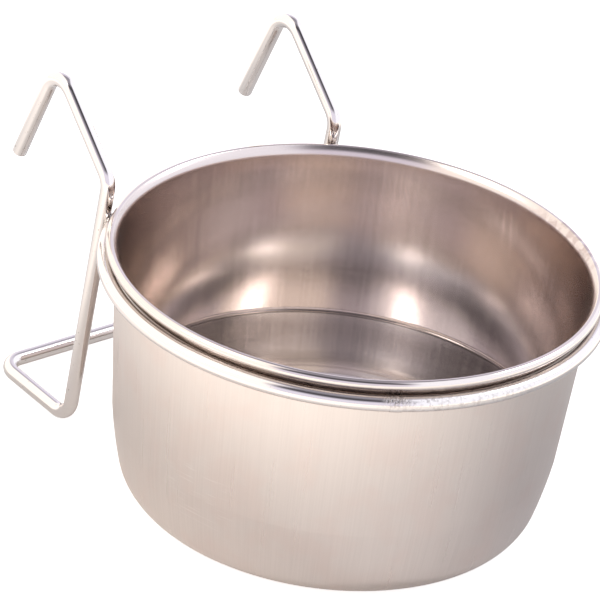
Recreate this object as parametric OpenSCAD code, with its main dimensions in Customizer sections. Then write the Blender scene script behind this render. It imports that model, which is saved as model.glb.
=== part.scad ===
// Seed cup for a bird cage: a drawn steel bowl that drops into a wire ring,
// and one bent wire that hooks the ring onto the cage.
// Origin: centre of the underside of the bowl. +Z is up along the bowl's axis,
// +Y points to the cage, +X is to the right seen from the front of the cup.

/* [Bowl] */
// Height of the bowl, from its base to the top of its rolled rim
bowl_h = 53.1; // [44:0.1:64]
// Outer radius of the rolled rim
rim_r = 48.5; // [44:0.5:60]
// Thickness of the steel sheet
sheet_t = 0.6; // [0.4:0.05:0.8]
// Radius of the rolled rim's outer bend
nose_r = 1; // [0.9:0.05:1.2]
// Lean of the rolled rim's underside, in degrees from upright
under_lean = 32; // [24:1:40]
// Gap between the edge of the roll and the wall behind it
curl_gap = 0.2; // [0.1:0.05:0.25]
// Radius of the flare that bends the wall out into the rim
flare_r = 8; // [7:0.1:9]
// Lean at which the flare passes into the tight bend at the rim's top, in degrees from upright
flare_end = 25; // [20:1:28]
// Radius of that tight bend, on its outer side
lip_r = 0.86; // [0.84:0.01:1]
// Lean of the upper wall, in degrees from upright
wall_lean = 4.6; // [2:0.1:6]
// Height of the crease where the wall starts to draw in more
crease_h = 16.8; // [13:0.1:22]
// Lean of the wall just below the crease, in degrees from upright
foot_lean = 7.8; // [7:0.1:12]
// Radius of the bulge of the wall below the crease
foot_curve_r = 97; // [60:1:140]
// Outer radius of the corner between the wall and the base
corner_r = 7.8; // [5:0.1:9]

/* [Support ring] */
// Diameter of the round wire of the ring and the hanger
wire_d = 3; // [2.4:0.1:3.6]
// Clearance around the bowl's wall where it drops into the ring
ring_play = 0.4; // [0.2:0.05:0.8]
// Gap between the edge of the roll and the ring that it sits on
seat_gap = 0.2; // [0.1:0.05:0.3]
// Place of the ring's butt weld, in degrees round the ring from +X
butt_weld_angle = -121; // [-150:1:-60]
// Length of the butt weld along the ring
butt_weld_len = 2.2; // [1:0.1:5]
// How far the butt weld stands proud of the wire
butt_weld_proud = 0.1; // [0.05:0.05:0.3]

/* [Hanger] */
// Distance between the two legs, centre to centre
leg_spread = 58; // [44:1:70]
// Lean of the legs, in degrees from upright, their foot further from the bowl
leg_lean = 4.9; // [0:0.1:8]
// Height of the bend above the middle of the ring
shoulder_h = 8.5; // [7:0.5:14]
// Rise of the hook from that bend to its top corner
hook_rise = 17.5; // [12:0.5:26]
// Reach of the hook from that bend to its top corner
hook_reach = 18.6; // [12:0.1:26]
// Drop of the hook's outer leg from the top corner to its tip
hook_drop = 24; // [12:0.5:32]
// Slope of the hook's outer leg, measured at its tip behind the top corner
hook_flare = 9.6; // [4:0.1:14]
// Length of the stand-off arm, from the leg's foot to the cross bar
arm_len = 22.6; // [14:0.1:32]
// Rise of the stand-off arm towards the cage, in degrees
arm_rise = 3.2; // [0:0.1:6]
// Radius of every bend, to the middle of the wire
bend_r = 4.3; // [3:0.1:5.5]
// How much thinner the wire's radius is in its bends, where it has stretched
bend_thin = 0.02; // [0.01:0.01:0.05]
// Chamfer on the cut tips of the wire
tip_chamfer = 0.4; // [0.1:0.05:0.8]
// How far the crossing wires are pressed into each other by the cross welds
weld_set = 0.3; // [0.1:0.05:0.5]
// Radius of the bead of metal at each cross weld
cross_weld_r = 1.7; // [1.4:0.05:2]

/* [Hidden] */
// Fineness of the wire's round section and of the large rounds, and steps in each arc of the bowl's side
wire_fn = 72;
round_fn = 360;
arc_steps = 14;

wire_r = wire_d / 2;
// Length by which each bend runs into the straight wire on either side of it
bend_lap = 0.05;

// Flare: a tight bend below the rim's top, and a wide one that runs down into the wall
function lean_dir(a) = [-cos(a), sin(a)];
lip_c = [rim_r - nose_r, bowl_h - lip_r];
flare_c = lip_c - (flare_r - lip_r) * lean_dir(flare_end);

// Rolled rim: a round nose, then a straight underside that runs in until it nears the flare
nose_c = [rim_r - nose_r, bowl_h - nose_r];
nose_end = [cos(under_lean), -sin(under_lean)];
under_dir = [-sin(under_lean), -cos(under_lean)];
under_from = nose_c + (nose_r - sheet_t) * nose_end - flare_c;
under_clear = pow(flare_r - sheet_t - curl_gap, 2) - under_from * under_from;
under_len = sqrt(pow(under_from * under_dir, 2) + under_clear) - under_from * under_dir;
under_tip = nose_c + nose_r * nose_end + under_len * under_dir;

// Wall: a line from the flare down to the crease, a wide arc, and the corner's arc
wall_top_r = flare_c[0] - (flare_r - sheet_t) * cos(wall_lean);
wall_top_z = flare_c[1] + (flare_r - sheet_t) * sin(wall_lean);
wall_dir = [-sin(wall_lean), -cos(wall_lean)];
crease_r = wall_top_r - (wall_top_z - crease_h) * tan(wall_lean);
foot_c = [crease_r - foot_curve_r * cos(foot_lean), crease_h + foot_curve_r * sin(foot_lean)];
corner_c = [foot_c[0] + sqrt(pow(foot_curve_r - corner_r, 2) - pow(foot_c[1] - corner_r, 2)), corner_r];
// Angle below level at which the wide arc passes into the corner
tangent_a = atan2(foot_c[1] - corner_c[1], corner_c[0] - foot_c[0]);

// Ring: it clears the wall and carries the edge of the roll
ring_mid_r = wall_top_r + ring_play + wire_r;
ring_z = under_tip[1] - sqrt(pow(wire_r + seat_gap, 2) - pow(ring_mid_r - under_tip[0], 2));

// Legs: each crosses outside the ring and is pressed into it by weld_set
leg_x = leg_spread / 2;
leg_mid_r = ring_mid_r + wire_d - weld_set;
leg_y = sqrt(pow(leg_mid_r, 2) - pow(leg_x, 2));
leg_angle = atan2(leg_y, leg_x);
nugget_r = (ring_mid_r + leg_mid_r) / 2;

// Corners of the bent wire in the plane of a leg, as [y, z], before they are rounded
leg_down = [sin(leg_lean), -cos(leg_lean)];
arm_out = [cos(arm_rise), sin(arm_rise)];
foot_turn = 90 + arm_rise - leg_lean;
// The wire's lowest point is level with the bowl's base
foot_up = (leg_down[1] - arm_out[1]) / norm(leg_down - arm_out);
foot_z = wire_r + bend_r + foot_up * bend_r / cos(foot_turn / 2);
shoulder = [leg_y - shoulder_h * tan(leg_lean), ring_z + shoulder_h];
foot = [leg_y + (ring_z - foot_z) * tan(leg_lean), foot_z];
back = foot + arm_len * arm_out;
crown = shoulder + [hook_reach, hook_rise];
tip = crown + [hook_flare, -hook_drop];

// The wire's whole run, from the right tip to the left one
function side(s, p) = [s * leg_x, p[0], p[1]];
run = [
    side(1, tip), side(1, crown), side(1, shoulder), side(1, foot), side(1, back),
    side(-1, back), side(-1, foot), side(-1, shoulder), side(-1, crown), side(-1, tip)
];

function unit(v) = v / norm(v);
// Angle turned at corner i of a run, and the length that its bend takes from each side
function turn(p, i) = acos(unit(p[i] - p[i - 1]) * unit(p[i + 1] - p[i]));
function setback(p, i) = (i == 0 || i == len(p) - 1) ? 0 : bend_r * tan(turn(p, i) / 2);

// Where the wall's line meets the flare and the wide arc, both moved inwards by s
function wall_top(s) = flare_c + (flare_r - sheet_t + s) * lean_dir(wall_lean);
function crease_point(s) =
    let (m = wall_top(s) - foot_c, q = -(m * wall_dir))
    wall_top(s) + wall_dir * (q + sqrt(q * q - m * m + pow(foot_curve_r - s, 2)));

// Points of an arc round c, from angle a to angle b
function arc(c, r, a, b) = [
    for (i = [0 : arc_steps])
        let (t = a + (b - a) * i / arc_steps)
        c + r * [cos(t), sin(t)]
];
function reversed(p) = [for (i = [len(p) - 1 : -1 : 0]) p[i]];

// One side of the sheet, moved inwards by s: from the middle of the base, up the wall,
// over the lip and round the nose to the edge of the roll
function sheet_side(s) =
    let (k = crease_point(s) - foot_c, r = nose_r - sheet_t + s)
    concat(
        [[0, s]],
        arc(corner_c, corner_r - s, -90, -tangent_a),
        arc(foot_c, foot_curve_r - s, -tangent_a, atan2(k[1], k[0])),
        arc(flare_c, flare_r - sheet_t + s, 180 - wall_lean, 180 - flare_end),
        arc(lip_c, lip_r - sheet_t + s, 180 - flare_end, 90),
        arc(nose_c, r, 90, -under_lean),
        [nose_c + r * nose_end + under_len * under_dir]
    );

module bowl() {
    color("#B9AFA8")
    rotate_extrude($fn = round_fn)
    polygon(concat(sheet_side(0), reversed(sheet_side(sheet_t))));
}

// Weld metal pressed out where a leg crosses the ring, s = 1 right and -1 left
module nugget(s) {
    translate([s * nugget_r * cos(leg_angle), nugget_r * sin(leg_angle), ring_z])
        rotate([0, 90, s > 0 ? leg_angle : 180 - leg_angle])
        sphere(r = cross_weld_r, $fn = wire_fn);
}

// Half the angle that the butt weld takes of the ring
butt_half_a = butt_weld_len / 2 / ring_mid_r * 180 / PI;

module support_ring() {
    color("#CFCBC8")
    difference() {
        translate([0, 0, ring_z])
            rotate([0, 0, butt_weld_angle + butt_half_a])
            rotate_extrude(angle = 360 - 2 * butt_half_a, $fn = round_fn)
            translate([ring_mid_r, 0]) circle(r = wire_r, $fn = wire_fn);
        nugget(1);
        nugget(-1);
    }
}

// Weld that closes the ring: proud outside and below, dressed flush under the rim
module ring_butt_weld() {
    shift = 0.75 * butt_weld_proud;
    color("#9A938F")
    translate([0, 0, ring_z])
        rotate([0, 0, butt_weld_angle - butt_half_a])
        rotate_extrude(angle = 2 * butt_half_a, $fn = round_fn)
        translate([ring_mid_r + shift, -shift]) circle(r = wire_r + butt_weld_proud, $fn = wire_fn);
}

// Moves to a with +Z turned to b
module along(a, b) {
    d = unit(b - a);
    translate(a) rotate([0, acos(d[2]), atan2(d[1], d[0])]) children();
}

// The bend at corner i of run p, lapping a little into the straight wire on both sides
module bend(p, i) {
    u = unit(p[i] - p[i - 1]);
    v = unit(p[i + 1] - p[i]);
    side_in = unit(v - (v * u) * u);
    out = -side_in;
    up = cross(out, u);
    c = p[i] - setback(p, i) * u + bend_r * side_in;
    lap_a = bend_lap / bend_r * 180 / PI;
    multmatrix([
        [out[0], u[0], up[0], c[0]],
        [out[1], u[1], up[1], c[1]],
        [out[2], u[2], up[2], c[2]]
    ])
        rotate([0, 0, -lap_a])
        rotate_extrude(angle = turn(p, i) + 2 * lap_a, $fn = wire_fn)
        translate([bend_r, 0]) circle(r = wire_r - bend_thin, $fn = wire_fn);
}

// Cut end of the wire, its edge broken by a chamfer
module wire_tip() {
    cylinder(r1 = wire_r, r2 = wire_r - tip_chamfer, h = tip_chamfer, $fn = wire_fn);
}

module hanger_wire() {
    last = len(run) - 1;
    color("#D6D2CF")
    difference() {
        union() {
            for (i = [0 : last - 1]) {
                d = unit(run[i + 1] - run[i]);
                a = run[i] + setback(run, i) * d;
                b = run[i + 1] - setback(run, i + 1) * d;
                along(a, b) {
                    cylinder(r = wire_r, h = norm(b - a), $fn = wire_fn);
                    if (i == 0) mirror([0, 0, 1]) wire_tip();
                    if (i == last - 1) translate([0, 0, norm(b - a)]) wire_tip();
                }
            }
            for (i = [1 : last - 1]) bend(run, i);
        }
        nugget(1);
        nugget(-1);
    }
}

module right_cross_weld() {
    color("#A39C98") nugget(1);
}

module left_cross_weld() {
    color("#A39C98") nugget(-1);
}

bowl();
support_ring();
hanger_wire();
left_cross_weld();
right_cross_weld();
ring_butt_weld();
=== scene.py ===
# %% [markdown]
# # A seed cup for a bird cage
#
# A drawn steel bowl drops into a wire ring, and one bent wire hooks the ring onto the
# cage. The working model of the part, with its true sizes and its one sliding joint,
# is loaded first as a fixed frame. The visible pieces are then modelled around it, given
# the finish of the real metal and lit as in a small studio.

# %% Load the frame
from math import acos, atan2, cos, degrees, pi, radians, sin, sqrt, tan

import bmesh
import bpy
from mathutils import Matrix, Vector


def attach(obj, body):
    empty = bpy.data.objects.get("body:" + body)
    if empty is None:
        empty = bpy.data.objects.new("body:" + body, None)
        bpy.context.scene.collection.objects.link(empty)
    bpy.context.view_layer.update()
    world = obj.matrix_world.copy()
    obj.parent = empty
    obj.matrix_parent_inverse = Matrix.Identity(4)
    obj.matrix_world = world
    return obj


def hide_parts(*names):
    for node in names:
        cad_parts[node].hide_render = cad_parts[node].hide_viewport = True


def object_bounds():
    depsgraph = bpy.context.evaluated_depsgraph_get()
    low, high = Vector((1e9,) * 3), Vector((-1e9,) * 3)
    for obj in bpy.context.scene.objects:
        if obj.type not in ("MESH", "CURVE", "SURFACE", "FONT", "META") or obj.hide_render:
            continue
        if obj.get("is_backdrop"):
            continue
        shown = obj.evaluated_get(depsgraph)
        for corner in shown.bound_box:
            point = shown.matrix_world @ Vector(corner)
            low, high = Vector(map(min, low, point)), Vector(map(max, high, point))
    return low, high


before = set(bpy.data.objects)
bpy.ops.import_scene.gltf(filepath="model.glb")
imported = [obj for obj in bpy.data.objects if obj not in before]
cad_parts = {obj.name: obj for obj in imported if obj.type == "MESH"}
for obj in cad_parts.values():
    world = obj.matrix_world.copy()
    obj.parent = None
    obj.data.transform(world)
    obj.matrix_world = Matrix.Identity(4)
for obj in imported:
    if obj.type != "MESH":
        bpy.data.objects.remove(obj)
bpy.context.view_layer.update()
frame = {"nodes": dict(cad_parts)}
MM = 0.001  # metres in a millimetre
print("nodes:", ", ".join(frame["nodes"]))

# %% [markdown]
# ## Camera
#
# A long lens looks down into the bowl from the front left, about a metre away. The
# picture was taken with the camera tilted a little, so it also rolls about its own
# axis. The camera comes before the pieces, because each of them is judged through it.

# %% Camera
CAMERA_AZIMUTH = radians(-43.166)
CAMERA_ELEVATION = radians(28.441)
CAMERA_ROLL = radians(7.272)
CAMERA_DISTANCE = 980.86 * MM
CAMERA_LENS = 301.14  # focal length in mm, on a 36 mm sensor
AIM_HEIGHT = 30 * MM
AIM_RIGHT = -8.293 * MM
AIM_UP = 11.912 * MM

to_camera = Vector((
    sin(CAMERA_AZIMUTH) * cos(CAMERA_ELEVATION),
    -cos(CAMERA_AZIMUTH) * cos(CAMERA_ELEVATION),
    sin(CAMERA_ELEVATION),
))
level_right = Vector((0, 0, 1)).cross(to_camera).normalized()
level_up = to_camera.cross(level_right)
picture_right = level_right * cos(CAMERA_ROLL) + level_up * sin(CAMERA_ROLL)
picture_up = level_up * cos(CAMERA_ROLL) - level_right * sin(CAMERA_ROLL)
aim = Vector((0, 0, AIM_HEIGHT)) + picture_right * AIM_RIGHT + picture_up * AIM_UP

bpy.ops.object.camera_add()
camera = bpy.context.object
camera.name = "camera"
camera.data.lens = CAMERA_LENS
camera.data.clip_start = 10 * MM
camera.data.clip_end = 20
turn = Matrix((picture_right, picture_up, to_camera)).transposed().to_4x4()
camera.matrix_world = Matrix.Translation(aim + to_camera * CAMERA_DISTANCE) @ turn
bpy.context.scene.camera = camera
bpy.context.scene.view_settings.view_transform = "Standard"
print("camera at, in mm:", [round(x / MM, 1) for x in camera.matrix_world.translation])

# %% [markdown]
# ## Small helpers for modelling
#
# An operator works on everything that is selected, so each piece starts from an empty
# selection. In edit mode, faces and edges are picked by where they are.

# %% Helpers for starting, selecting and finishing
def start_alone():
    """Leaves edit mode and empties the selection, so that the next operator acts on one piece."""
    if bpy.context.object and bpy.context.object.mode != "OBJECT":
        bpy.ops.object.mode_set(mode="OBJECT")
    bpy.ops.object.select_all(action="DESELECT")


def edit_new(name):
    """Names the primitive that was just added, puts its place in its mesh and enters edit mode."""
    piece = bpy.context.object
    piece.name = name
    piece.data.name = name
    bpy.ops.object.transform_apply(location=True, rotation=True, scale=True)
    bpy.ops.object.mode_set(mode="EDIT")
    bpy.ops.mesh.select_all(action="SELECT")
    return piece


def select_where(piece, kind, wanted):
    """Selects, in edit mode, the faces, edges or verts for which wanted() is true; returns how many."""
    mesh = bmesh.from_edit_mesh(piece.data)
    bpy.ops.mesh.select_all(action="DESELECT")
    chosen = [item for item in getattr(mesh, kind) if wanted(item)]
    for item in chosen:
        item.select_set(True)
    mesh.select_flush_mode()
    bmesh.update_edit_mesh(piece.data)
    return len(chosen)


def tidy_normals():
    """Merges doubled points and turns all faces outwards."""
    bpy.ops.mesh.select_all(action="SELECT")
    bpy.ops.mesh.remove_doubles(threshold=0.001 * MM)
    bpy.ops.mesh.normals_make_consistent(inside=False)


def finish_shape(piece, smooth_angle=30):
    """Leaves edit mode and shades the piece smooth, with edges sharper than the angle kept crisp."""
    bpy.ops.object.mode_set(mode="OBJECT")
    bpy.ops.object.shade_smooth_by_angle(angle=radians(smooth_angle))
    low, high = (Vector(map(pick, zip(*(v.co for v in piece.data.vertices)))) for pick in (min, max))
    print(piece.name, len(piece.data.polygons), "faces, in mm:",
          [round(x / MM, 2) for x in low], "to", [round(x / MM, 2) for x in high])
    bpy.ops.object.select_all(action="DESELECT")

# %% [markdown]
# ## The bowl's section
#
# The bowl is pressed from one round blank. Its wall stands almost upright and flares out
# over the last few millimetres. Its edge turns over a tight lip and a round nose and is
# folded in behind the nose, where it rests on the ring. The section could be a row of
# traced points, but press tools are arcs and straight lines, so it is written that way
# here, from their sizes.

# %% Sizes of the bowl, in mm
BOWL_H = 53.1
RIM_R = 48.5
SHEET_T = 0.6
NOSE_R = 1
UNDER_LEAN = 32  # lean of the rim's underside, in degrees from upright
CURL_GAP = 0.2
FLARE_R = 8
FLARE_END = 25
LIP_R = 0.86
WALL_LEAN = 4.6
CREASE_H = 16.8
FOOT_LEAN = 7.8
FOOT_CURVE_R = 97
CORNER_R = 7.8

# %% Where the arcs of the section sit
def leaning(angle):
    """Unit direction in the section that points inwards and up by an angle in degrees."""
    return Vector((-cos(radians(angle)), sin(radians(angle))))


def arc(centre, radius, start, end, steps):
    """Points along an arc of the section, from one angle in degrees to another."""
    turns = [radians(start + (end - start) * i / steps) for i in range(steps + 1)]
    return [Vector((centre[0] + radius * cos(t), centre[1] + radius * sin(t))) for t in turns]


lip_c = Vector((RIM_R - NOSE_R, BOWL_H - LIP_R))
flare_c = lip_c - (FLARE_R - LIP_R) * leaning(FLARE_END)
wall_top = flare_c + (FLARE_R - SHEET_T) * leaning(WALL_LEAN)
crease_r = wall_top[0] - (wall_top[1] - CREASE_H) * tan(radians(WALL_LEAN))
foot_c = Vector((
    crease_r - FOOT_CURVE_R * cos(radians(FOOT_LEAN)),
    CREASE_H + FOOT_CURVE_R * sin(radians(FOOT_LEAN)),
))
corner_x = foot_c[0] + sqrt((FOOT_CURVE_R - CORNER_R) ** 2 - (foot_c[1] - CORNER_R) ** 2)
corner_c = Vector((corner_x, CORNER_R))
tangent_a = degrees(atan2(foot_c[1] - CORNER_R, corner_x - foot_c[0]))
print("crease radius", round(crease_r, 2), "corner centre", [round(x, 2) for x in corner_c])

# %% The rolled edge: its underside runs in until it nears the back of the flare
nose_c = Vector((RIM_R - NOSE_R, BOWL_H - NOSE_R))
nose_end = Vector((cos(radians(UNDER_LEAN)), -sin(radians(UNDER_LEAN))))
under_dir = Vector((-sin(radians(UNDER_LEAN)), -cos(radians(UNDER_LEAN))))
under_from = nose_c + (NOSE_R - SHEET_T) * nose_end - flare_c
under_on = under_from.dot(under_dir)
under_len = sqrt(
    under_on ** 2 + (FLARE_R - SHEET_T - CURL_GAP) ** 2 - under_from.length_squared) - under_on
under_tip = nose_c + NOSE_R * nose_end + under_len * under_dir
print("underside", round(under_len, 2), "long, ending at", [round(x, 2) for x in under_tip])

# %% The polished mouth: a short cone between two tight bends
CONE_LEAN = 43  # in degrees from upright
CONE_BEND_R = 2.4
CONE_LIP_R = 0.62
inner_top = flare_c + FLARE_R * leaning(WALL_LEAN)
cone_lip_c = Vector((RIM_R - NOSE_R, BOWL_H - CONE_LIP_R))
cone_high = cone_lip_c + CONE_LIP_R * leaning(CONE_LEAN)
bend_drop = CONE_BEND_R * (leaning(CONE_LEAN) - leaning(WALL_LEAN))
cone_dir = Vector((-sin(radians(CONE_LEAN)), -cos(radians(CONE_LEAN))))
off_wall = (cone_high - bend_drop - inner_top)[0] - (
    cone_high - bend_drop - inner_top)[1] * tan(radians(WALL_LEAN))
cone_len = off_wall / (sin(radians(CONE_LEAN)) - cos(radians(CONE_LEAN)) * tan(radians(WALL_LEAN)))
cone_low = cone_high + cone_dir * cone_len
cone_bend_c = cone_low - CONE_BEND_R * leaning(CONE_LEAN)
mouth_start = cone_bend_c + CONE_BEND_R * leaning(WALL_LEAN)
print("cone", round(cone_len, 2), "long, mouth from", [round(x, 2) for x in mouth_start])

# %% The inner side of the sheet, from the flat base over the rim to the end of the roll
wall_dir = Vector((-sin(radians(WALL_LEAN)), -cos(radians(WALL_LEAN))))
from_foot = inner_top - foot_c
along = -from_foot.dot(wall_dir)
reach = sqrt(along ** 2 - from_foot.length_squared + (FOOT_CURVE_R - SHEET_T) ** 2)
inner_crease = inner_top + wall_dir * (along + reach)
crease_a = degrees(atan2(inner_crease[1] - foot_c[1], inner_crease[0] - foot_c[0]))

# %% All the points in order, with close rings where a small ridge is pressed in later
CORNER_STEPS = 12
FOOT_STEPS = 8
RIDGE_RINGS = (0.1, 0.2, 0.3, 0.4, 0.6, 0.8, 1.0, 1.25)  # heights above the crease
WALL_STEPS = 10
MOUTH_STEPS = 6
LIP_STEPS = 8
NOSE_STEPS = 14
corner_part = arc(corner_c, CORNER_R - SHEET_T, -90, -tangent_a, CORNER_STEPS)
foot_part = arc(foot_c, FOOT_CURVE_R - SHEET_T, -tangent_a, crease_a, FOOT_STEPS)
foot_part[-1:] = [foot_part[-2].lerp(inner_crease, share) for share in (0.7, 0.85, 1)]
ridge_part = [inner_crease - wall_dir * rise for rise in RIDGE_RINGS]
wall_part = [ridge_part[-1].lerp(mouth_start, i / WALL_STEPS) for i in range(WALL_STEPS + 1)]
mouth_part = arc(cone_bend_c, CONE_BEND_R, 180 - WALL_LEAN, 180 - CONE_LEAN, MOUTH_STEPS)
cone_part = [cone_low.lerp(cone_high, share) for share in (0.5, 1)]
lip_part = arc(cone_lip_c, CONE_LIP_R, 180 - CONE_LEAN, 90, LIP_STEPS)
nose_part = arc(nose_c, NOSE_R, 90, -UNDER_LEAN, NOSE_STEPS)
under_part = [nose_part[-1].lerp(under_tip, share) for share in (0.5, 1)]
inner_line = corner_part + foot_part[1:] + ridge_part + wall_part[1:] + mouth_part[1:]
inner_line += cone_part + lip_part[1:] + nose_part[1:] + under_part
print(len(inner_line), "rings of points in the inner side")

# %% [markdown]
# ## The bowl
#
# The real bowl starts as a flat disc that the press draws up into a wall. Its section could
# be spun round the axis, but that leaves a knot of thin triangles in the middle of the base.
# So it is modelled as it is pressed: a filled circle is the flat base, its edge is extruded
# and resized ring by ring along the section, and Solidify gives the sheet its thickness.

# %% Draw the bowl up from a disc
ROUND_STEPS = 192
BASE_INSETS = (0.25, 0.3, 0.4)  # widths of the rings in the flat base, as shares of its radius
start_alone()
base_r, base_z = inner_line[0]
bpy.ops.mesh.primitive_circle_add(
    vertices=ROUND_STEPS, radius=base_r * MM, fill_type="NGON", location=(0, 0, base_z * MM))
bowl = edit_new("drawn_bowl")
bpy.ops.mesh.select_mode(type="FACE")
for share in BASE_INSETS:
    bpy.ops.mesh.inset(thickness=base_r * share * MM)
bpy.ops.mesh.select_mode(type="EDGE")
select_where(bowl, "edges", lambda edge: edge.is_boundary)
for (r, z), (next_r, next_z) in zip(inner_line, inner_line[1:]):
    bpy.ops.mesh.extrude_region_move(TRANSFORM_OT_translate={"value": (0, 0, (next_z - z) * MM)})
    bpy.ops.transform.resize(value=(next_r / r, next_r / r, 1), center_override=(0, 0, 0))

# %% Merge doubles and face the sheet inwards
tidy_normals()
mesh = bmesh.from_edit_mesh(bowl.data)
floor_face = min(mesh.faces, key=lambda face: face.calc_center_median().length)
if floor_face.normal.z < 0:
    bpy.ops.mesh.flip_normals()
print(len(mesh.faces), "faces in the inner side")

# %% Give the sheet its thickness
INNER, RIM, OUTER, RIM_BACK, BASE, FOLD, INNER_BASE = range(7)  # places with a finish of their own
RIM_START = (mouth_start[1] - 0.3) * MM
FOLD_TOP = (nose_c[1] - 0.1) * MM
FOLD_START = (under_tip[0] - 0.2) * MM
LEVEL = 0.99  # the normal of a level face points at least this much up or down

bpy.ops.object.mode_set(mode="OBJECT")
for _ in range(INNER_BASE + 1):
    bowl.data.materials.append(None)  # Solidify needs the slots now, and gets the finishes later
for face in bowl.data.polygons:
    face.material_index = RIM if face.center.z > RIM_START else INNER
sheet = bowl.modifiers.new("sheet", "SOLIDIFY")
sheet.thickness = SHEET_T * MM
sheet.offset = -1
sheet.use_even_offset = True
sheet.material_offset = OUTER - INNER
bpy.ops.object.modifier_apply(modifier="sheet")
for face in bowl.data.polygons:
    if face.normal.z < -LEVEL and face.center.z < SHEET_T / 2 * MM:
        face.material_index = BASE
    if face.normal.z > LEVEL and face.center.z < SHEET_T * 1.5 * MM:
        face.material_index = INNER_BASE
    if face.center.z < FOLD_TOP and face.center.xy.length > FOLD_START:
        face.material_index = FOLD
print(len(bowl.data.polygons), "faces in the whole sheet")

# %% [markdown]
# ## The ridge at the crease
#
# Inside the bowl, a fine ridge runs round just above the crease, where two press tools met.
# The outside shows none. A bevel of the crease, made before the sheet had its thickness,
# would show on both sides. So the close rings of the inner side are moved in or out now,
# each by a resize about the bowl's axis.

# %% Press the ridge into the inner side, ring by ring
RIDGE_TOP = 0.4  # its height above the crease
RIDGE_START = 0.8
RIDGE_IN = 0.08  # how far it stands in from the wall
RIDGE_BACK = 0.05  # how far the foot stands out just below it
RIDGE_FADE = 2  # over how much of the foot that fades away
NEAR_Z, NEAR_R = 0.03, 0.02  # how near to its ring a point is


def pushed_out(rise):
    """How far the inner side is pushed out at a height above the crease, in mm."""
    if rise < 0:
        return RIDGE_BACK * max(0, 1 + rise / RIDGE_FADE)
    if rise < RIDGE_TOP:
        return RIDGE_BACK - (RIDGE_BACK + RIDGE_IN) * rise / RIDGE_TOP
    return -RIDGE_IN * max(0, (RIDGE_START - rise) / (RIDGE_START - RIDGE_TOP))


start_alone()
bowl.select_set(True)
bpy.context.view_layer.objects.active = bowl
bpy.ops.object.mode_set(mode="EDIT")
bpy.ops.mesh.select_mode(type="VERT")
for r, z in foot_part[-5:] + ridge_part:
    select_where(bowl, "verts", lambda vert: (
        abs(vert.co.z / MM - z) < NEAR_Z and abs(vert.co.xy.length / MM - r) < NEAR_R))
    wider = 1 + pushed_out(z - inner_crease[1]) / r
    bpy.ops.transform.resize(value=(wider, wider, 1), center_override=(0, 0, 0))
finish_shape(bowl, smooth_angle=50)

# %% [markdown]
# ## The support ring
#
# The ring is 3 mm wire bent round a mandrel, its two ends butted and welded. A torus has
# the shape but no ends. So a circle of the wire's size is spun round the bowl's axis, just
# short of a full turn, and its two open ends are filled, which leaves the weld its gap.

# %% Sizes of the ring, in mm
WIRE_D = 3
RING_PLAY = 0.4
SEAT_GAP = 0.2
BUTT_WELD_ANGLE = radians(-121)
BUTT_WELD_LEN = 2.2
BUTT_WELD_PROUD = 0.1

wire_r = WIRE_D / 2
ring_mid_r = wall_top[0] + RING_PLAY + wire_r
ring_drop = sqrt((wire_r + SEAT_GAP) ** 2 - (ring_mid_r - under_tip[0]) ** 2)
ring_z = under_tip[1] - ring_drop
butt_half = BUTT_WELD_LEN / 2 / ring_mid_r
print("ring radius", round(ring_mid_r, 2), "ring height", round(ring_z, 2))

# %% Spin the ring
WIRE_SIDES = 32
RING_STEPS = 240


def wire_circle(place, direction, radius, name):
    """Starts a wire: an open circle at a place in mm, square to a direction, in edit mode."""
    start_alone()
    bpy.ops.mesh.primitive_circle_add(
        vertices=WIRE_SIDES, radius=radius * MM, fill_type="NOTHING",
        location=Vector(place) * MM, rotation=direction.to_track_quat("Z", "Y").to_euler())
    return edit_new(name)


def around(angle, radius, height=0):
    """Place at an angle round the bowl's axis."""
    return Vector((radius * cos(angle), radius * sin(angle), height))


def close_ends():
    """Fills the open ends of the wire in edit mode."""
    bpy.ops.mesh.select_all(action="SELECT")
    bpy.ops.mesh.fill_holes(sides=0)
    tidy_normals()


ring_start = BUTT_WELD_ANGLE + butt_half
ring = wire_circle(
    around(ring_start, ring_mid_r, ring_z), around(ring_start + pi / 2, 1), wire_r, "ring_wire")
bpy.ops.mesh.spin(
    steps=RING_STEPS, angle=-(2 * pi - 2 * butt_half), center=(0, 0, 0), axis=(0, 0, 1))
close_ends()
finish_shape(ring)

# %% [markdown]
# ## The butt weld
#
# Where the ring's two ends meet, upset metal is left a little proud and dressed with a
# wheel. Its roughness could be bump alone, but the outline would stay smooth. So a short
# length of slightly thicker wire is spun and roughened inwards by a Displace modifier,
# which keeps it within the bulge of the working model.

# %% Spin the butt weld and roughen it
WELD_ROUGHNESS = 0.06
WELD_SINK = 0.05  # how far the weld runs into each end of the ring
WELD_STEPS = 24


def roughened(piece, grain, strength):
    """Gives a weld its uneven surface: clouds push it inwards, by up to a strength in mm."""
    clouds = bpy.data.textures.new(piece.name + "_clouds", "CLOUDS")
    clouds.noise_scale = grain * MM
    clouds.noise_depth = 2
    lumps = piece.modifiers.new("lumps", "DISPLACE")
    lumps.texture = clouds
    lumps.texture_coords = "LOCAL"
    lumps.mid_level = 1
    lumps.strength = strength * MM
    bpy.context.view_layer.objects.active = piece
    bpy.ops.object.modifier_apply(modifier="lumps")


weld_start = BUTT_WELD_ANGLE - butt_half - WELD_SINK / ring_mid_r
butt_weld = wire_circle(
    around(weld_start, ring_mid_r + BUTT_WELD_PROUD / 2, ring_z),
    around(weld_start + pi / 2, 1), wire_r + BUTT_WELD_PROUD, "ring_butt_weld_bead")
bpy.ops.mesh.spin(
    steps=WELD_STEPS, angle=-2 * (butt_half + WELD_SINK / ring_mid_r), center=(0, 0, 0), axis=(0, 0, 1))
close_ends()
finish_shape(butt_weld, smooth_angle=50)
roughened(butt_weld, grain=0.5, strength=WELD_ROUGHNESS)

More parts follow.
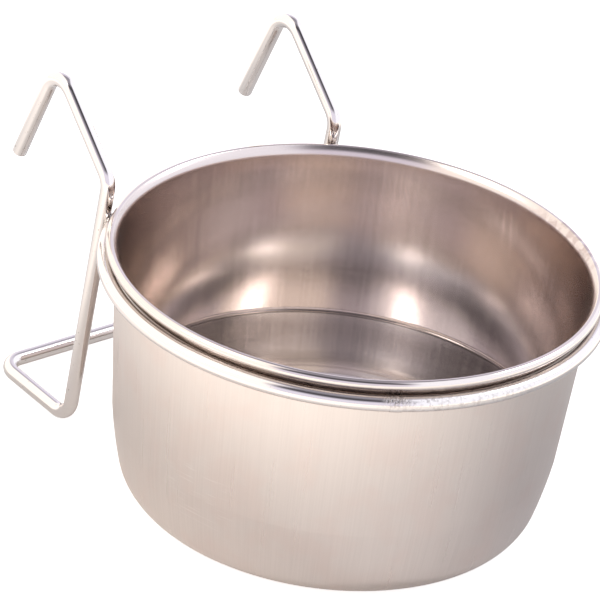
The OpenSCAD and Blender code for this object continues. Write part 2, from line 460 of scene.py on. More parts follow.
# %% [markdown]
# ## The hanger
#
# One straight length of wire becomes the whole hanger, with nine straights and eight bends
# from one hook's tip to the other's. A curve with a round bevel would be quicker, but its
# bends are hard to hold to a radius. So it is modelled the way it is bent: the wire's open
# end is pushed along each straight by extrude, then swung round each bend by spin.

# %% Sizes of the hanger, in mm
LEG_SPREAD = 58
LEG_LEAN = radians(4.9)
SHOULDER_H = 8.5
HOOK_RISE = 17.5
HOOK_REACH = 18.6
HOOK_DROP = 24
HOOK_FLARE = 9.6
ARM_LEN = 22.6
ARM_RISE = radians(3.2)
BEND_R = 4.3
BEND_THIN = 0.02  # taken off the wire's radius, so that its bends stay in the working model's
WELD_SET = 0.3
BEND_STEPS = 14
TIP_ROUND = 0.3
CUT_EDGE = radians(80)  # an edge at least this sharp is the rim of a cut tip

leg_x = LEG_SPREAD / 2
leg_mid_r = ring_mid_r + WIRE_D - WELD_SET
leg_y = sqrt(leg_mid_r ** 2 - leg_x ** 2)
leg_angle = atan2(leg_y, leg_x)
leg_down = Vector((0, sin(LEG_LEAN), -cos(LEG_LEAN)))
arm_out = Vector((0, cos(ARM_RISE), sin(ARM_RISE)))
foot_turn = acos(leg_down.dot(arm_out))
foot_up = (leg_down - arm_out).z / (leg_down - arm_out).length
foot_z = wire_r + BEND_R + foot_up * BEND_R / cos(foot_turn / 2)

# %% Corners of the bent wire, from the right tip to the left one
shoulder = Vector((leg_x, leg_y - SHOULDER_H * tan(LEG_LEAN), ring_z + SHOULDER_H))
foot = Vector((leg_x, leg_y + (ring_z - foot_z) * tan(LEG_LEAN), foot_z))
back = foot + arm_out * ARM_LEN
crown = shoulder + Vector((0, HOOK_REACH, HOOK_RISE))
tip = crown + Vector((0, HOOK_FLARE, -HOOK_DROP))


def mirrored(place):
    """The same place on the left of the cup."""
    return Vector((-place.x, place.y, place.z))


right_half = [tip, crown, shoulder, foot, back]
corners = right_half + [mirrored(place) for place in reversed(right_half)]
for place in right_half:
    print("corner at", [round(x, 1) for x in place])

# %% Push and swing the wire along its run
hanger_r = wire_r - BEND_THIN
headings = [(after - before).normalized() for before, after in zip(corners, corners[1:])]
turns = [0] + [acos(a.dot(b)) for a, b in zip(headings, headings[1:])] + [0]
setbacks = [BEND_R * tan(turned / 2) for turned in turns]

hanger = wire_circle(corners[0], headings[0], hanger_r, "hanger_wire_bent")
for i, heading in enumerate(headings):
    straight = (corners[i + 1] - corners[i]).length - setbacks[i] - setbacks[i + 1]
    bpy.ops.mesh.extrude_region_move(TRANSFORM_OT_translate={"value": heading * straight * MM})
    if i + 1 < len(headings):
        after = headings[i + 1]
        inward = (after - after.dot(heading) * heading).normalized()
        bend_start = corners[i + 1] - heading * setbacks[i + 1]
        bpy.ops.mesh.spin(
            steps=BEND_STEPS, angle=-turns[i + 1],
            center=(bend_start + inward * BEND_R) * MM, axis=heading.cross(after).normalized())
mesh = bmesh.from_edit_mesh(hanger.data)
end = sum((v.co for v in mesh.verts if v.select), Vector()) / WIRE_SIDES
print("wire ends off the left tip by, in mm:", round((end / MM - corners[-1]).length, 4))

# %% Close the cut tips and break their edges
close_ends()
rims = select_where(hanger, "edges", lambda edge: edge.calc_face_angle(0) > CUT_EDGE)
bpy.ops.mesh.bevel(offset=TIP_ROUND * MM, segments=3, profile=0.5)
tidy_normals()
finish_shape(hanger)
print("edges broken at the tips:", rims)

# %% [markdown]
# ## The cross welds
#
# Where a leg crosses the ring, the two wires were pressed together and welded, and a
# little metal was squeezed out round the joint. It could be sculpted, but it is less than
# four millimetres wide. So each lump is a fine sphere pressed out of round by clouds; as
# the clouds differ from place to place, the second lump is no mirror of the first.

# %% Lumps of weld metal
CROSS_WELD_R = 1.7
LUMP_FINENESS = 5
LUMP_ROUGHNESS = 0.35
nugget_r = (ring_mid_r + leg_mid_r) / 2


def cross_weld(side, name):
    """Weld lump where a leg crosses the ring: side is 1 on the right and -1 on the left."""
    place = around(leg_angle, nugget_r, ring_z)
    place.x *= side
    start_alone()
    bpy.ops.mesh.primitive_ico_sphere_add(
        subdivisions=LUMP_FINENESS, radius=CROSS_WELD_R * MM, location=place * MM)
    lump = edit_new(name)
    tidy_normals()
    finish_shape(lump, smooth_angle=60)
    roughened(lump, grain=0.8, strength=LUMP_ROUGHNESS)
    return lump


right_weld = cross_weld(1, "cross_weld_lump_right")
left_weld = cross_weld(-1, "cross_weld_lump_left")

# %% [markdown]
# ## Finishes
#
# Every piece is stainless steel; what tells them apart is how each surface was worked:
# brushed, buffed, polished, spun, drawn through a die or welded. A finish could be painted
# as an image, but a pattern worked out from its real size in millimetres needs no seams and
# stays sharp close up. Colours are written as on a screen, and one function turns them to
# linear light.

# %% Helpers for materials
def linear(colour):
    """Turns a screen colour such as #C8B9AE into the linear values that a shader takes."""
    parts = [int(colour[i:i + 2], 16) / 255 for i in (1, 3, 5)]
    return [p / 12.92 if p <= 0.04045 else ((p + 0.055) / 1.055) ** 2.4 for p in parts] + [1]


def add_node(tree, kind, inputs=(), **settings):
    """Adds a shader node; its settings are set on the node itself.

    The inputs are a tuple in the order of the sockets, or a dict by their name or number.
    Each is a plain value, a screen colour, a socket, or a node whose output in use is meant.
    """
    made = tree.nodes.new("ShaderNode" + kind)
    for name, value in settings.items():
        setattr(made, name, value)
    for name, value in (dict(enumerate(inputs)) if isinstance(inputs, tuple) else inputs).items():
        if isinstance(value, str):
            value = linear(value)
        if isinstance(value, bpy.types.Node):
            value = next(output for output in value.outputs if output.enabled)
        if isinstance(value, bpy.types.NodeSocket):
            tree.links.new(value, made.inputs[name])
        else:
            made.inputs[name].default_value = value
    return made


def new_material(name):
    """A material with an empty node tree, and that tree."""
    material = bpy.data.materials.new(name)
    material.use_nodes = True
    material.node_tree.nodes.clear()
    return material, material.node_tree


def finish_metal(tree, colour, dull, bump, **constants):
    """Ends a metal's node tree with its shader; dull is the roughness."""
    inputs = {"Base Color": colour, "Metallic": 1, "Roughness": dull, "Normal": bump}
    shader = add_node(tree, "BsdfPrincipled", {**inputs, **constants})
    add_node(tree, "OutputMaterial", {"Surface": shader})
    print("finished with", len(tree.nodes), "nodes")

# %% [markdown]
# ## Patterns on the metal
#
# Press marks and brushing follow the way the piece was made: on the bowl they run up the
# wall or round it. An unwrapped image would have a seam there, so each place on the wall is
# measured in millimetres round the axis and up it, and stretched along the stroke. In the
# patterns below, a noise runs from about 0.3 to 0.7, and Map Range takes the part of it
# between its first two numbers to the range of its last two, or to 0 and 1.

# %% Helpers for patterns
FINE_SHARE = 0.55  # how much the finer layers of a noise show
WANDER_W = 2.5  # a scratch turns about once in this length, in mm
WANDER = 1.6  # and leaves its line by up to a fifth of this, in mm


def place_in_mm(tree):
    """Place on the object, in mm."""
    where = add_node(tree, "TexCoord").outputs["Object"]
    return add_node(tree, "VectorMath", {0: where, "Scale": 1 / MM}, operation="SCALE")


def off_the_axis(tree):
    """Distance from the bowl's axis, in mm."""
    flat = add_node(tree, "VectorMath", (place_in_mm(tree), (1, 1, 0)), operation="MULTIPLY")
    return add_node(tree, "VectorMath", {0: flat}, operation="LENGTH")


def on_the_wall(tree, round_stretch, up_stretch):
    """Place on the bowl's wall: mm round the axis and mm up it, each divided by its stretch."""
    place = place_in_mm(tree)
    flat = add_node(tree, "VectorMath", (place, (1, 1, 0)), operation="MULTIPLY")
    turned = add_node(tree, "VectorMath", {0: flat}, operation="NORMALIZE")
    wide = add_node(tree, "VectorMath", {0: turned, "Scale": RIM_R / round_stretch}, operation="SCALE")
    tall = add_node(tree, "VectorMath", (place, (0, 0, 1 / up_stretch)), operation="MULTIPLY")
    return add_node(tree, "VectorMath", (wide, tall), operation="ADD")


def spot(tree, centre, inner, outer):
    """1 within a distance in mm of a place, fading to 0 at an outer distance."""
    away = add_node(tree, "VectorMath", (place_in_mm(tree), tuple(centre)), operation="DISTANCE")
    return add_node(tree, "MapRange", (away, inner, outer, 1, 0))


def scratch(tree, high, low, width):
    """1 along a wavering scratch between two places on the wall, and 0 away from it."""
    across = (high - low).cross(Vector((high.x, high.y, 0))).normalized()
    wander = add_node(tree, "TexNoise", {
        "Vector": place_in_mm(tree), "Scale": 1 / WANDER_W, "Roughness": FINE_SHARE})
    from_high = add_node(tree, "VectorMath", (place_in_mm(tree), tuple(high)), operation="SUBTRACT")
    off = add_node(tree, "VectorMath", (from_high, tuple(across)), operation="DOT_PRODUCT")
    off = add_node(tree, "Math", (wander, WANDER, off), operation="MULTIPLY_ADD")
    off = add_node(tree, "Math", (off, WANDER / 2), operation="SUBTRACT")  # a noise's middle is 0.5
    off = add_node(tree, "Math", {0: off}, operation="ABSOLUTE")
    line = add_node(tree, "MapRange", (off, width / 2, width * 1.375, 1, 0))
    reach = (high - low).length / 2
    ends = spot(tree, (high + low) / 2, reach * 0.86, reach * 1.1)
    return add_node(tree, "Math", (line, ends), operation="MULTIPLY")

# %% [markdown]
# ## The outer wall: satin brushed
#
# After drawing, the outside is brushed upright with a fine belt. That gives the eye a broad,
# soft shine and no sharp picture of the room. The grooves are a noise stretched up the wall,
# and could do it all by bump, but then they would have to be far too deep. So most of the
# effect is the shader's anisotropic setting, which blurs a reflection round the axis, across
# the strokes. Handling has left faint smudges and one patch of level scratches.

# %% Satin brushed steel
STROKE_W = 0.35  # in mm, as are the other widths here; belt grooves are drawn coarser than real
BROAD_STROKE_W = 3
SMUDGE_W = 9
SCRATCH_W = 0.3
SCRATCHED_PLACE = around(radians(-167), 45, 17)

satin_steel, tree = new_material("satin_brushed_steel")
strokes = add_node(tree, "TexNoise", {
    "Vector": on_the_wall(tree, 1, 60), "Scale": 1 / STROKE_W, "Roughness": FINE_SHARE})
broad_strokes = add_node(tree, "TexNoise", {
    "Vector": on_the_wall(tree, 1, 12), "Scale": 1 / BROAD_STROKE_W, "Roughness": FINE_SHARE})
smudges = add_node(tree, "TexNoise", {
    "Vector": place_in_mm(tree), "Scale": 1 / SMUDGE_W, "Detail": 3, "Roughness": FINE_SHARE})
level_noise = add_node(tree, "TexNoise", {
    "Vector": on_the_wall(tree, 20, 1), "Scale": 1 / SCRATCH_W, "Detail": 0, "Roughness": FINE_SHARE})
level_lines = add_node(tree, "MapRange", (level_noise, 0.66, 0.74, 0, 0.3))
scratches = add_node(tree, "Math", (level_lines, spot(tree, SCRATCHED_PLACE, 4, 10)), operation="MULTIPLY")
stroke_share = add_node(tree, "MapRange", (strokes, 0.3, 0.7))
smudge_share = add_node(tree, "MapRange", (smudges, 0.48, 0.65, 0, 0.25))
colour = add_node(tree, "Mix", {0: stroke_share, 6: "#D3C9C3", 7: "#D8CEC8"}, data_type="RGBA")
colour = add_node(tree, "Mix", {0: smudge_share, 6: colour, 7: "#D6C1B9"}, data_type="RGBA")
colour = add_node(tree, "Mix", {0: scratches, 6: colour, 7: "#F0EAE6"}, data_type="RGBA")
dull = add_node(tree, "MapRange", (strokes, 0.3, 0.7, 0.29, 0.33))
duller = add_node(tree, "MapRange", (broad_strokes, 0.3, 0.7, -0.03, 0.03))
dull = add_node(tree, "Math", (dull, duller), operation="ADD")
bump = add_node(tree, "Bump", {"Height": strokes, "Distance": 0.0009 * MM})
round_the_axis = add_node(tree, "Tangent", direction_type="RADIAL", axis="Z")
finish_metal(tree, colour, dull, bump, Anisotropic=0.7, Tangent=round_the_axis)

# %% [markdown]
# ## The inside: drawn and buffed, with painted shade
#
# The press leaves upright draw marks on the inside, and buffing takes off only their tops.
# The wall is bright enough to mirror the studio and itself, softened by the marks, so it is
# made like the outside but smoother. The corner and a thin line under the crease's ridge are
# painted darker: painted shade, and at the ridge also a painted dark reflection. Two fine
# scratches run down the wall at the right.

# %% Drawn and buffed steel
DRAW_MARK_W = 0.8
LONG_WAVE_W = 5
TURN_LINE_W = 0.5
CORNER_LOW, CORNER_HIGH = 2, 9  # heights between which the corner is painted darker, as shade
SCRATCHES = ((6.0, 4.2), (8.4, 7.2))  # angles of their upper and lower ends, in degrees
UPPER_END, LOWER_END = (45.6, 49.5), (45, 41.5)  # radius and height of those ends

inner_steel, tree = new_material("drawn_and_buffed_steel")
draw_marks = add_node(tree, "TexNoise", {
    "Vector": on_the_wall(tree, 1, 30), "Scale": 1 / DRAW_MARK_W, "Roughness": FINE_SHARE})
long_waves = add_node(tree, "TexNoise", {
    "Vector": on_the_wall(tree, 1, 8), "Scale": 1 / LONG_WAVE_W, "Roughness": FINE_SHARE})
turn_lines = add_node(tree, "TexNoise", {
    "Vector": on_the_wall(tree, 20, 1), "Scale": 1 / TURN_LINE_W, "Roughness": FINE_SHARE})
mark_share = add_node(tree, "MapRange", (draw_marks, 0.3, 0.7))
colour = add_node(tree, "Mix", {0: mark_share, 6: "#DDD5D1", 7: "#E3DBD7"}, data_type="RGBA")

up = add_node(tree, "SeparateXYZ", {0: place_in_mm(tree)}).outputs[2]
# painted shade: the corner between these heights is made darker
above_base = add_node(tree, "MapRange", (up, CORNER_LOW, CORNER_LOW + 1))
below_foot = add_node(tree, "MapRange", (up, CORNER_HIGH - 2.5, CORNER_HIGH, 1, 0))
corner_shade = add_node(tree, "Math", (above_base, below_foot), operation="MULTIPLY")
colour = add_node(tree, "Mix", {0: corner_shade, 6: colour, 7: "#B4ABA6"}, data_type="RGBA")
# painted shade and dark reflection: a thin dark line just under the crease's ridge
crease_shade_line = add_node(tree, "Math", (up, inner_crease[1] + 0.05, 0.45), operation="COMPARE")
crease_shade_line = add_node(tree, "Math", (crease_shade_line, 0.7), operation="MULTIPLY")
colour = add_node(tree, "Mix", {0: crease_shade_line, 6: colour, 7: "#7A726E"}, data_type="RGBA")
for high_turn, low_turn in SCRATCHES:
    high = around(radians(high_turn), *UPPER_END)
    low = around(radians(low_turn), *LOWER_END)
    line = add_node(tree, "Math", (scratch(tree, high, low, 0.16), 0.55), operation="MULTIPLY")
    colour = add_node(tree, "Mix", {0: line, 6: colour, 7: "#FFFAF5"}, data_type="RGBA")

dull = add_node(tree, "MapRange", (draw_marks, 0.3, 0.7, 0.12, 0.14))
duller = add_node(tree, "MapRange", (turn_lines, 0.3, 0.7, 0, 0.02))
dull = add_node(tree, "Math", (dull, duller), operation="ADD")
bump = add_node(tree, "Bump", {"Height": draw_marks, "Distance": 0.0014 * MM})
bump = add_node(tree, "Bump", {"Height": long_waves, "Distance": 0.008 * MM, "Normal": bump})
bump = add_node(tree, "Bump", {"Height": turn_lines, "Distance": 0.0003 * MM, "Normal": bump})
round_the_axis = add_node(tree, "Tangent", direction_type="RADIAL", axis="Z")
finish_metal(tree, colour, dull, bump, Anisotropic=0.6, Tangent=round_the_axis)

# %% [markdown]
# ## The rim: polished
#
# The mouth and the rolled edge are polished on a wheel, which runs round the rim and leaves
# hair-fine lines that way. Only the nose gets its full shine: the inner half of the mouth
# keeps some brushing. Fingers and cage doors rub the rim, so it has a patch of fine scuffs.

# %% Polished steel
WHEEL_LINE_W = 0.3
SCUFF_W = 2.2
BRUSHED_R = 47.5  # the brushing starts here and is full half a millimetre further in
WORN_PLACE = around(radians(-17), 47.5, BOWL_H)

rim_steel, tree = new_material("polished_steel_rim")
brushed = add_node(tree, "MapRange", (off_the_axis(tree), BRUSHED_R, BRUSHED_R - 0.5))
wheel_lines = add_node(tree, "TexNoise", {
    "Vector": on_the_wall(tree, 12, 1), "Scale": 1 / WHEEL_LINE_W, "Roughness": FINE_SHARE})
scuffs = add_node(tree, "TexNoise", {
    "Vector": place_in_mm(tree), "Scale": 1 / SCUFF_W, "Detail": 3, "Roughness": FINE_SHARE})
scuffed = add_node(tree, "MapRange", (scuffs, 0.42, 0.58))
worn = add_node(tree, "Math", (spot(tree, WORN_PLACE, 7, 16), scuffed), operation="MULTIPLY")
colour = add_node(tree, "Mix", {0: brushed, 6: "#D6CDC8", 7: "#CBC0BC"}, data_type="RGBA")
colour = add_node(tree, "Mix", {0: worn, 6: colour, 7: "#B9ABA8"}, data_type="RGBA")
dull = add_node(tree, "MapRange", (wheel_lines, 0.3, 0.7, 0.06, 0.1))
unpolished = add_node(tree, "Math", (worn, brushed), operation="MAXIMUM")
dull = add_node(tree, "Math", (unpolished, 0.14, dull), operation="MULTIPLY_ADD")
bump = add_node(tree, "Bump", {"Height": wheel_lines, "Distance": 0.001 * MM})
dents = add_node(tree, "Math", (worn, scuffs), operation="MULTIPLY")
bump = add_node(tree, "Bump", {"Height": dents, "Distance": 0.01 * MM, "Normal": bump})
finish_metal(tree, colour, dull, bump)

# %% [markdown]
# ## The folded edge: half polished, with painted shade
#
# The wheel only grazes the underside of the rim, so it is duller than the nose, but still
# mirrors the ring below it, bright at the sides and dark in front. Its colour is painted
# darker than the nose's, as shade for the gap over the ring; the rim's own steel would be
# too clean there, so it has a finish of its own.

# %% Grazed steel under the rim, painted darker as shade
shaded_fold_steel, tree = new_material("grazed_steel_with_painted_shade_under_the_rim")
skin = add_node(tree, "TexNoise", {
    "Vector": on_the_wall(tree, 4, 1), "Scale": 1 / 0.8, "Detail": 4, "Roughness": FINE_SHARE})
skin_share = add_node(tree, "MapRange", (skin, 0.35, 0.65))
# painted shade: these colours are darker than the rim's, for the gap over the ring
colour = add_node(tree, "Mix", {0: skin_share, 6: "#B0A7A2", 7: "#C3BBB6"}, data_type="RGBA")
dull = add_node(tree, "MapRange", (skin, 0.35, 0.65, 0.12, 0.2))
bump = add_node(tree, "Bump", {"Height": skin, "Distance": 0.002 * MM})
finish_metal(tree, colour, dull, bump)

# %% [markdown]
# ## The base: spun
#
# The flat base was faced on a lathe, so its fine grooves are rings round the centre: a noise
# read only at the distance from the axis. The inside was buffed after that, and the
# underside was left as it came and has stained, so one function makes both finishes.

# %% Spun steel, inside and underneath
GROOVE_W = 0.5
STAIN_W = 12


def spun_steel(name, shades, smooth, rough, groove_depth, stained):
    """Steel with ring grooves; smooth and rough are the two ends of its roughness."""
    material, tree = new_material(name)
    outward = add_node(tree, "CombineXYZ", {0: off_the_axis(tree)})
    grooves = add_node(tree, "TexNoise", {
        "Vector": outward, "Scale": 1 / GROOVE_W, "Detail": 3, "Roughness": FINE_SHARE})
    stains = add_node(tree, "TexNoise", {
        "Vector": place_in_mm(tree), "Scale": 1 / STAIN_W, "Detail": 3, "Roughness": FINE_SHARE})
    groove_share = add_node(tree, "MapRange", (grooves, 0.3, 0.7))
    stain_share = add_node(tree, "MapRange", (stains, 0.5, 0.8, 0, stained))
    colour = add_node(tree, "Mix", {0: groove_share, 6: shades[0], 7: shades[1]}, data_type="RGBA")
    colour = add_node(tree, "Mix", {0: stain_share, 6: colour, 7: "#B5A79E"}, data_type="RGBA")
    dull = add_node(tree, "MapRange", (grooves, 0.3, 0.7, smooth, rough))
    bump = add_node(tree, "Bump", {"Height": grooves, "Distance": groove_depth * MM})
    finish_metal(tree, colour, dull, bump)
    return material


base_steel = spun_steel(
    "spun_steel_base", ("#C6BBB3", "#D6CCC5"), smooth=0.28, rough=0.42, groove_depth=0.012, stained=0.5)
buffed_base = spun_steel(
    "spun_and_buffed_base", ("#D8CFCB", "#E3DBD7"), smooth=0.14, rough=0.2, groove_depth=0.001, stained=0.15)

# %% [markdown]
# ## The wire: bright drawn
#
# Wire pulled through a die comes out bright, with a faint waviness and a few nicks from
# the bending tools. Round the butt weld a wheel has dressed its upper side, which left it
# mottled, and the bowl's rim has scuffed it beyond that. The weld itself is only darker, so
# one function makes both.

# %% Bright drawn steel wire
WAVE_W = 4
NICK_W = 0.6
MOTTLE_W = 0.5
WIRE_SCUFF_W = 0.9
BUTT_PLACE = around(BUTT_WELD_ANGLE, ring_mid_r, ring_z)
SCUFFED_PLACE = around(BUTT_WELD_ANGLE + radians(17), ring_mid_r, ring_z)
DRESSED_TOP = ring_z + 0.8  # the dressed patch lies above this height and fades out below it


def bright_wire(name, dressing):
    """Bright wire whose upper side is ground to another colour round the butt weld."""
    material, tree = new_material(name)
    waviness = add_node(tree, "TexNoise", {
        "Vector": place_in_mm(tree), "Scale": 1 / WAVE_W, "Detail": 1, "Roughness": FINE_SHARE})
    nicks = add_node(tree, "TexNoise", {
        "Vector": place_in_mm(tree), "Scale": 1 / NICK_W, "Detail": 1, "Roughness": FINE_SHARE})
    mottle = add_node(tree, "TexNoise", {
        "Vector": place_in_mm(tree), "Scale": 1 / MOTTLE_W, "Detail": 4, "Roughness": FINE_SHARE})
    scuffs = add_node(tree, "TexNoise", {
        "Vector": place_in_mm(tree), "Scale": 1 / WIRE_SCUFF_W, "Detail": 4, "Roughness": FINE_SHARE})
    up = add_node(tree, "SeparateXYZ", {0: place_in_mm(tree)}).outputs[2]
    on_top = add_node(tree, "MapRange", (up, DRESSED_TOP - 1, DRESSED_TOP))
    dressed = add_node(tree, "Math", (spot(tree, BUTT_PLACE, 1.8, 3.6), on_top), operation="MULTIPLY")
    mottled = add_node(tree, "MapRange", (mottle, 0.4, 0.55))
    dressed = add_node(tree, "Math", (dressed, mottled), operation="MULTIPLY")
    scuffed = add_node(tree, "MapRange", (scuffs, 0.5, 0.62, 0, 0.5))
    scuffed = add_node(tree, "Math", (spot(tree, SCUFFED_PLACE, 9, 20), scuffed), operation="MULTIPLY")
    dressed = add_node(tree, "Math", (dressed, scuffed), operation="MAXIMUM")
    nicked = add_node(tree, "MapRange", (nicks, 0.74, 0.8))
    colour = add_node(tree, "Mix", {0: nicked, 6: "#DAD4D1", 7: "#A79D96"}, data_type="RGBA")
    colour = add_node(tree, "Mix", {0: dressed, 6: colour, 7: dressing}, data_type="RGBA")
    dull = add_node(tree, "MapRange", (waviness, 0.3, 0.7, 0.07, 0.11))
    dull = add_node(tree, "Math", (dressed, 0.3, dull), operation="MULTIPLY_ADD")
    bump = add_node(tree, "Bump", {"Height": waviness, "Distance": 0.008 * MM})
    pits = add_node(tree, "Math", (dressed, mottle), operation="MULTIPLY")
    bump = add_node(tree, "Bump", {"Height": pits, "Distance": 0.05 * MM, "Normal": bump})
    finish_metal(tree, colour, dull, bump)
    return material


wire_steel = bright_wire("bright_drawn_steel_wire", "#B9B0AB")
dressed_steel = bright_wire("dressed_butt_weld", "#A79E9A")

# %% [markdown]
# ## Weld metal
#
# The cross welds are bare: grey where the steel was hot, with small bright and dark lumps.
# They are bright on their high places, where they were brushed off. A fine and a coarse
# noise give that mottle; the lumps themselves are in the mesh.

# %% Bare weld metal
WELD_GRAIN_W = 0.5
BURN_W = 1.3

weld_steel, tree = new_material("bare_weld_metal")
mottle = add_node(tree, "TexNoise", {
    "Vector": place_in_mm(tree), "Scale": 1 / WELD_GRAIN_W, "Detail": 4, "Roughness": FINE_SHARE})
burns = add_node(tree, "TexNoise", {
    "Vector": place_in_mm(tree), "Scale": 1 / BURN_W, "Roughness": FINE_SHARE})
bright = add_node(tree, "MapRange", (mottle, 0.4, 0.6))
burnt = add_node(tree, "MapRange", (burns, 0.55, 0.7, 0, 0.7))
colour = add_node(tree, "Mix", {0: bright, 6: "#77706C", 7: "#D3CBC5"}, data_type="RGBA")
colour = add_node(tree, "Mix", {0: burnt, 6: colour, 7: "#5B534E"}, data_type="RGBA")
dull = add_node(tree, "MapRange", (mottle, 0.4, 0.6, 0.42, 0.2))
bump = add_node(tree, "Bump", {"Height": mottle, "Distance": 0.08 * MM})
finish_metal(tree, colour, dull, bump)

# %% Put the finishes on the pieces
for finish, material in (
        (INNER, inner_steel), (RIM, rim_steel), (OUTER, satin_steel), (RIM_BACK, rim_steel),
        (BASE, base_steel), (FOLD, shaded_fold_steel), (INNER_BASE, buffed_base)):
    bowl.data.materials[finish] = material
    faces = sum(face.material_index == finish for face in bowl.data.polygons)
    print(material.name, "on", faces, "faces")
for piece, material in (
        (ring, wire_steel), (hanger, wire_steel), (butt_weld, dressed_steel),
        (right_weld, weld_steel), (left_weld, weld_steel)):
    piece.data.materials.append(material)

# %% [markdown]
# ## Stage
#
# Steel shows what stands round it, so the stage is built as the steel sees it. The floor is
# plain and pale to the eye. In reflections it is brightest under the left-hand cloth and
# dark close to the cup, which shades it. Lamps could light it so, but they would light the
# wires as well, so the floor sets by itself how bright it is in a reflection.

# %% Floor
FLOOR_SIZE = 12  # in metres
FLOOR_DROP = 0.02  # in mm, so that the base doesn't touch it
FLOOR_GLOW_SEEN = 0.75
GLOW_NEAR, GLOW_FAR = 0.27, 1.1
BRIGHT_SIDE = around(CAMERA_AZIMUTH - radians(90 + 33), 1)  # below the left-hand cloth

start_alone()
bpy.ops.mesh.primitive_plane_add(size=FLOOR_SIZE, location=(0, 0, -FLOOR_DROP * MM))
floor = bpy.context.object
floor.name = "floor"
floor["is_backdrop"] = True
pale_floor, tree = new_material("pale_floor")
place = place_in_mm(tree)
away = add_node(tree, "VectorMath", {0: place}, operation="LENGTH")
turned = add_node(tree, "VectorMath", {0: place}, operation="NORMALIZE")
facing = add_node(tree, "VectorMath", (turned, tuple(BRIGHT_SIDE)), operation="DOT_PRODUCT")
facing = add_node(tree, "MapRange", (facing, -0.35, 0.95))
far_off = add_node(tree, "MapRange", (away, 130, 260))
side = add_node(tree, "Math", (facing, far_off), operation="MAXIMUM")
outwards = add_node(tree, "MapRange", (away, 48, 105))
outwards = add_node(tree, "Math", (outwards, 2), operation="POWER")
pool = add_node(tree, "MapRange", (outwards, 0, 1, GLOW_NEAR, GLOW_FAR))
pool = add_node(tree, "Math", (pool, side), operation="MULTIPLY")
rays = add_node(tree, "LightPath")
seen, mirrored = rays.outputs["Is Camera Ray"], rays.outputs["Is Glossy Ray"]
glow = add_node(tree, "Math", (mirrored, pool), operation="MULTIPLY")
glow = add_node(tree, "Math", (seen, FLOOR_GLOW_SEEN, glow), operation="MULTIPLY_ADD")
tint = add_node(tree, "Mix", {0: seen, 6: "#FFF6EA", 7: "#FFFFFF"}, data_type="RGBA")
shader = add_node(tree, "BsdfPrincipled", {
    "Base Color": "#F4F4F4", "Roughness": 0.9, "Specular IOR Level": 0,
    "Emission Color": tint, "Emission Strength": glow})
add_node(tree, "OutputMaterial", {"Surface": shader})
floor.data.materials.append(pale_floor)

# %% [markdown]
# ## Light
#
# The inside of the real bowl shows a tent of white cloth, bright to the left and right and
# open to a dim room in front and overhead. Such a tent could be built of planes, but they
# would get in the camera's way, and the world can carry it as a few soft edges between
# directions. Two weak softboxes help it from the upper left and right.

# %% A polished bowl mirrors itself many times over
MIRROR_BOUNCES = 12  # with the usual four, the far left and right of its inside go nearly black
bpy.context.scene.cycles.glossy_bounces = MIRROR_BOUNCES
bpy.context.scene.cycles.max_bounces = MIRROR_BOUNCES + 4
print("mirror bounces:", bpy.context.scene.cycles.glossy_bounces)

# %% Directions in the tent
world = bpy.data.worlds.new("studio")
bpy.context.scene.world = world
world.use_nodes = True
tree = world.node_tree
tree.nodes.clear()
looked_at = add_node(tree, "TexCoord").outputs["Generated"]
to_front = Vector((to_camera.x, to_camera.y, 0)).normalized()
front, right, height = (
    add_node(tree, "VectorMath", (looked_at, tuple(direction)), operation="DOT_PRODUCT")
    for direction in (to_front, level_right, Vector((0, 0, 1))))
print("each runs from -1 to 1, from straight away to straight towards it")

# %% The opening between the two cloths, wide in front and narrow behind
ahead = add_node(tree, "Math", (front, 0.5), operation="MULTIPLY")
behind = add_node(tree, "Math", (front, -0.2), operation="MULTIPLY")
wide = add_node(tree, "Math", (ahead, behind), operation="MAXIMUM")
wide = add_node(tree, "Math", (height, 0.17, wide), operation="MULTIPLY_ADD")
leftwards = add_node(tree, "Math", (right, -1), operation="MULTIPLY")
rightwards = add_node(tree, "Math", (right, 0.04), operation="SUBTRACT")
sideways = add_node(tree, "Math", (leftwards, rightwards), operation="MAXIMUM")
opening = add_node(tree, "Math", (wide, sideways), operation="SUBTRACT")
opening = add_node(tree, "MapRange", (opening, -0.06, 0.06))
print("the cloths and their opening took", len(tree.nodes), "nodes")

# %% The dim room in it, darker overhead and least so behind
dusk = add_node(tree, "MapRange", (height, 0.47, 0.86, 1.25, 0.1), interpolation_type="SMOOTHSTEP")
behind = add_node(tree, "MapRange", (front, 0.45, -0.05, 0, 0.4))
overhead = add_node(tree, "MapRange", (height, 0.6, 0.9))
dusk = add_node(tree, "Math", (behind, overhead, dusk), operation="MULTIPLY_ADD")
print("with the dim room,", len(tree.nodes), "nodes")

# %% The tent's brightness and tint
TENT_LEFT = 1.7
TENT_RIGHT = 1.6
LIT_SHARE = 0.34  # share of the tent's brightness that reaches matt things such as the floor

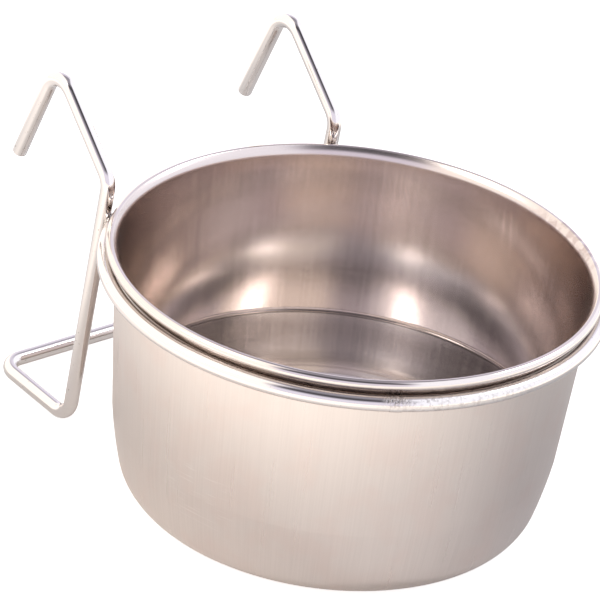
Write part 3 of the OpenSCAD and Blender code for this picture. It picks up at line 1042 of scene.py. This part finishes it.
rays = add_node(tree, "LightPath")
seen, matt = rays.outputs["Is Camera Ray"], rays.outputs["Is Diffuse Ray"]
cloth = add_node(tree, "MapRange", (right, -0.2, 0.2, TENT_LEFT, TENT_RIGHT))
glow = add_node(tree, "Mix", {0: opening, 2: cloth, 3: dusk})
lit = add_node(tree, "MapRange", (matt, 0, 1, 1, LIT_SHARE))
glow = add_node(tree, "Math", (glow, lit), operation="MULTIPLY")
glow = add_node(tree, "Mix", {0: seen, 2: glow, 3: 1})
tint = add_node(tree, "MapRange", (right, -0.3, 0.3))
tint = add_node(tree, "Mix", {0: tint, 6: "#FFF9F2", 7: "#F2F5FF"}, data_type="RGBA")
tint = add_node(tree, "Mix", {0: opening, 6: tint, 7: "#F1EEFF"}, data_type="RGBA")
tint = add_node(tree, "Mix", {0: seen, 6: tint, 7: "#FFFFFF"}, data_type="RGBA")
background = add_node(tree, "Background", {"Color": tint, "Strength": glow})
add_node(tree, "OutputWorld", {"Surface": background})
print("tent:", TENT_LEFT, "left,", TENT_RIGHT, "right")

# %% Softboxes
SOFTBOX_POWER = 2  # in watts
SOFTBOX_AWAY = 900
SOFTBOX_HEIGHT = 400


def softbox(name, azimuth, elevation, width):
    """A rectangular light aimed at the cup from an azimuth and elevation in degrees."""
    a, e = radians(azimuth), radians(elevation)
    direction = Vector((sin(a) * cos(e), -cos(a) * cos(e), sin(e)))
    start_alone()
    bpy.ops.object.light_add(
        type="AREA", location=Vector((0, 0, AIM_HEIGHT)) + direction * SOFTBOX_AWAY * MM,
        rotation=direction.to_track_quat("Z", "Y").to_euler())
    light = bpy.context.object
    light.name = name
    light.data.shape = "RECTANGLE"
    light.data.size = width * MM
    light.data.size_y = SOFTBOX_HEIGHT * MM
    light.data.energy = SOFTBOX_POWER
    print(name, "at, in mm:", [round(x / MM) for x in light.location])


softbox("softbox_left", azimuth=-43 - 72, elevation=48, width=300)
softbox("softbox_right", azimuth=-43 + 118, elevation=44, width=250)

# %% [markdown]
# ## Joining the pieces to the working model
#
# Each visible piece takes the place of one node of the working model and rides on its body,
# so the bowl lifts out of the ring here as it does there.

# %% Rides
for piece, body, node, slot in (
        (bowl, "bowl", "bowl", "bowl_sheet"),
        (ring, "holder", "support_ring", "wire"),
        (hanger, "holder", "hanger_wire", "wire"),
        (butt_weld, "holder", "ring_butt_weld", "weld_metal"),
        (right_weld, "holder", "right_cross_weld", "weld_metal"),
        (left_weld, "holder", "left_cross_weld", "weld_metal")):
    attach(piece, body)
    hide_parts(node)

# %% Size of the visual model
low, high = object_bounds()
